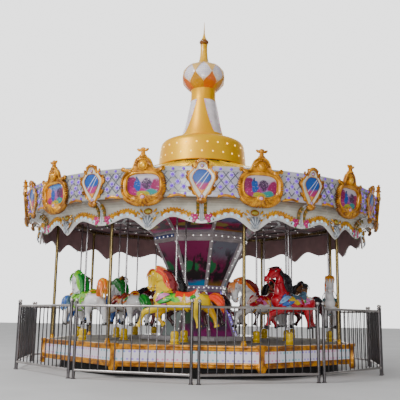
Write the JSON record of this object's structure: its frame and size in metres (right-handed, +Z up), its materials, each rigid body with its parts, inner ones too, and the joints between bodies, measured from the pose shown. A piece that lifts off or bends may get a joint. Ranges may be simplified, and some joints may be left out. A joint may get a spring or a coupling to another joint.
{
  "type": "fairground carousel",
  "caption": "Round fairground ride with two rings of rising horses on poles, a crown and turret above, a skirted deck below and a low fence around it.",
  "frame": {"origin": "on the ground, on the turning axis, at the centre of the ground base's underside", "axes": "+Z up along the turning axis; -Y towards the front; azimuths count from -Y towards +X"},
  "size_m": [7.8278, 7.8278, 8.02],
  "materials": {
    "stainless_steel": "satin",
    "black_paint": "matte",
    "deck_plate": "satin",
    "white_enamel": "gloss",
    "gold_paint": "gloss",
    "bronze_pole": "satin",
    "magenta_panel": "gloss",
    "maroon_ceiling": "satin",
    "cream_board": "satin",
    "yellow_roof": "gloss",
    "horse_enamel": "gloss"
  },
  "bodies": {
    "stand": {"ground_base": "black_paint", "fence_panel_01": "stainless_steel", "fence_panel_02": "stainless_steel", "fence_panel_03": "stainless_steel", "fence_panel_04": "stainless_steel", "fence_panel_05": "stainless_steel", "fence_panel_06": "stainless_steel", "fence_panel_07": "stainless_steel", "fence_panel_08": "stainless_steel", "fence_panel_09": "stainless_steel", "fence_panel_10": "stainless_steel", "fence_panel_11": "stainless_steel"},
    "platform": {"deck": "deck_plate", "deck_rim": "gold_paint", "centre_step": "white_enamel", "pole_frame": "bronze_pole", "centre_skirt": "magenta_panel", "centre_cone": "magenta_panel", "centre_collar": "maroon_ceiling", "ceiling": "maroon_ceiling", "valance": "cream_board", "crown_board": "white_enamel", "roof": "yellow_roof", "turret_drum": "yellow_roof", "turret_tower": "gold_paint", "turret_neck": "gold_paint", "onion_dome": "gold_paint", "spire": "gold_paint"},
    "horse_outer_1": {"horse_outer_1": "horse_enamel"},
    "horse_outer_2": {"horse_outer_2": "horse_enamel"},
    "horse_outer_3": {"horse_outer_3": "horse_enamel"},
    "horse_outer_4": {"horse_outer_4": "horse_enamel"},
    "horse_outer_5": {"horse_outer_5": "horse_enamel"},
    "horse_outer_6": {"horse_outer_6": "horse_enamel"},
    "horse_outer_7": {"horse_outer_7": "horse_enamel"},
    "horse_outer_8": {"horse_outer_8": "horse_enamel"},
    "horse_inner_1": {"horse_inner_1": "horse_enamel"},
    "horse_inner_2": {"horse_inner_2": "horse_enamel"},
    "horse_inner_3": {"horse_inner_3": "horse_enamel"},
    "horse_inner_4": {"horse_inner_4": "horse_enamel"},
    "horse_inner_5": {"horse_inner_5": "horse_enamel"},
    "horse_inner_6": {"horse_inner_6": "horse_enamel"},
    "horse_inner_7": {"horse_inner_7": "horse_enamel"},
    "horse_inner_8": {"horse_inner_8": "horse_enamel"}
  },
  "joints": [
    {"name": "platform_turn", "type": "hinge", "parent": "stand", "child": "platform", "pos_m": [0, 0, 0], "axis": [0, 0, 1], "continuous": true},
    {"name": "horse_outer_1_rise", "type": "slide", "parent": "platform", "child": "horse_outer_1", "axis": [0, 0, 1], "range_m": [-0.12, 0.12]},
    {"name": "horse_outer_2_rise", "type": "slide", "parent": "platform", "child": "horse_outer_2", "axis": [0, 0, 1], "range_m": [-0.12, 0.12]},
    {"name": "horse_outer_3_rise", "type": "slide", "parent": "platform", "child": "horse_outer_3", "axis": [0, 0, 1], "range_m": [-0.12, 0.12]},
    {"name": "horse_outer_4_rise", "type": "slide", "parent": "platform", "child": "horse_outer_4", "axis": [0, 0, 1], "range_m": [-0.12, 0.12]},
    {"name": "horse_outer_5_rise", "type": "slide", "parent": "platform", "child": "horse_outer_5", "axis": [0, 0, 1], "range_m": [-0.12, 0.12]},
    {"name": "horse_outer_6_rise", "type": "slide", "parent": "platform", "child": "horse_outer_6", "axis": [0, 0, 1], "range_m": [-0.12, 0.12]},
    {"name": "horse_outer_7_rise", "type": "slide", "parent": "platform", "child": "horse_outer_7", "axis": [0, 0, 1], "range_m": [-0.12, 0.12]},
    {"name": "horse_outer_8_rise", "type": "slide", "parent": "platform", "child": "horse_outer_8", "axis": [0, 0, 1], "range_m": [-0.12, 0.12]},
    {"name": "horse_inner_1_rise", "type": "slide", "parent": "platform", "child": "horse_inner_1", "axis": [0, 0, 1], "range_m": [-0.12, 0.12]},
    {"name": "horse_inner_2_rise", "type": "slide", "parent": "platform", "child": "horse_inner_2", "axis": [0, 0, 1], "range_m": [-0.12, 0.12]},
    {"name": "horse_inner_3_rise", "type": "slide", "parent": "platform", "child": "horse_inner_3", "axis": [0, 0, 1], "range_m": [-0.12, 0.12]},
    {"name": "horse_inner_4_rise", "type": "slide", "parent": "platform", "child": "horse_inner_4", "axis": [0, 0, 1], "range_m": [-0.12, 0.12]},
    {"name": "horse_inner_5_rise", "type": "slide", "parent": "platform", "child": "horse_inner_5", "axis": [0, 0, 1], "range_m": [-0.12, 0.12]},
    {"name": "horse_inner_6_rise", "type": "slide", "parent": "platform", "child": "horse_inner_6", "axis": [0, 0, 1], "range_m": [-0.12, 0.12]},
    {"name": "horse_inner_7_rise", "type": "slide", "parent": "platform", "child": "horse_inner_7", "axis": [0, 0, 1], "range_m": [-0.12, 0.12]},
    {"name": "horse_inner_8_rise", "type": "slide", "parent": "platform", "child": "horse_inner_8", "axis": [0, 0, 1], "range_m": [-0.12, 0.12]}
  ],
  "couplings": [
    {"joint": "horse_outer_2_rise", "follows": "horse_outer_1_rise", "ratio": -1},
    {"joint": "horse_outer_3_rise", "follows": "horse_outer_1_rise", "ratio": 1},
    {"joint": "horse_outer_4_rise", "follows": "horse_outer_1_rise", "ratio": -1},
    {"joint": "horse_outer_5_rise", "follows": "horse_outer_1_rise", "ratio": 1},
    {"joint": "horse_outer_6_rise", "follows": "horse_outer_1_rise", "ratio": -1},
    {"joint": "horse_outer_7_rise", "follows": "horse_outer_1_rise", "ratio": 1},
    {"joint": "horse_outer_8_rise", "follows": "horse_outer_1_rise", "ratio": -1},
    {"joint": "horse_inner_1_rise", "follows": "horse_outer_1_rise", "ratio": -1},
    {"joint": "horse_inner_2_rise", "follows": "horse_outer_1_rise", "ratio": 1},
    {"joint": "horse_inner_3_rise", "follows": "horse_outer_1_rise", "ratio": -1},
    {"joint": "horse_inner_4_rise", "follows": "horse_outer_1_rise", "ratio": 1},
    {"joint": "horse_inner_5_rise", "follows": "horse_outer_1_rise", "ratio": -1},
    {"joint": "horse_inner_6_rise", "follows": "horse_outer_1_rise", "ratio": 1},
    {"joint": "horse_inner_7_rise", "follows": "horse_outer_1_rise", "ratio": -1},
    {"joint": "horse_inner_8_rise", "follows": "horse_outer_1_rise", "ratio": 1}
  ]
}
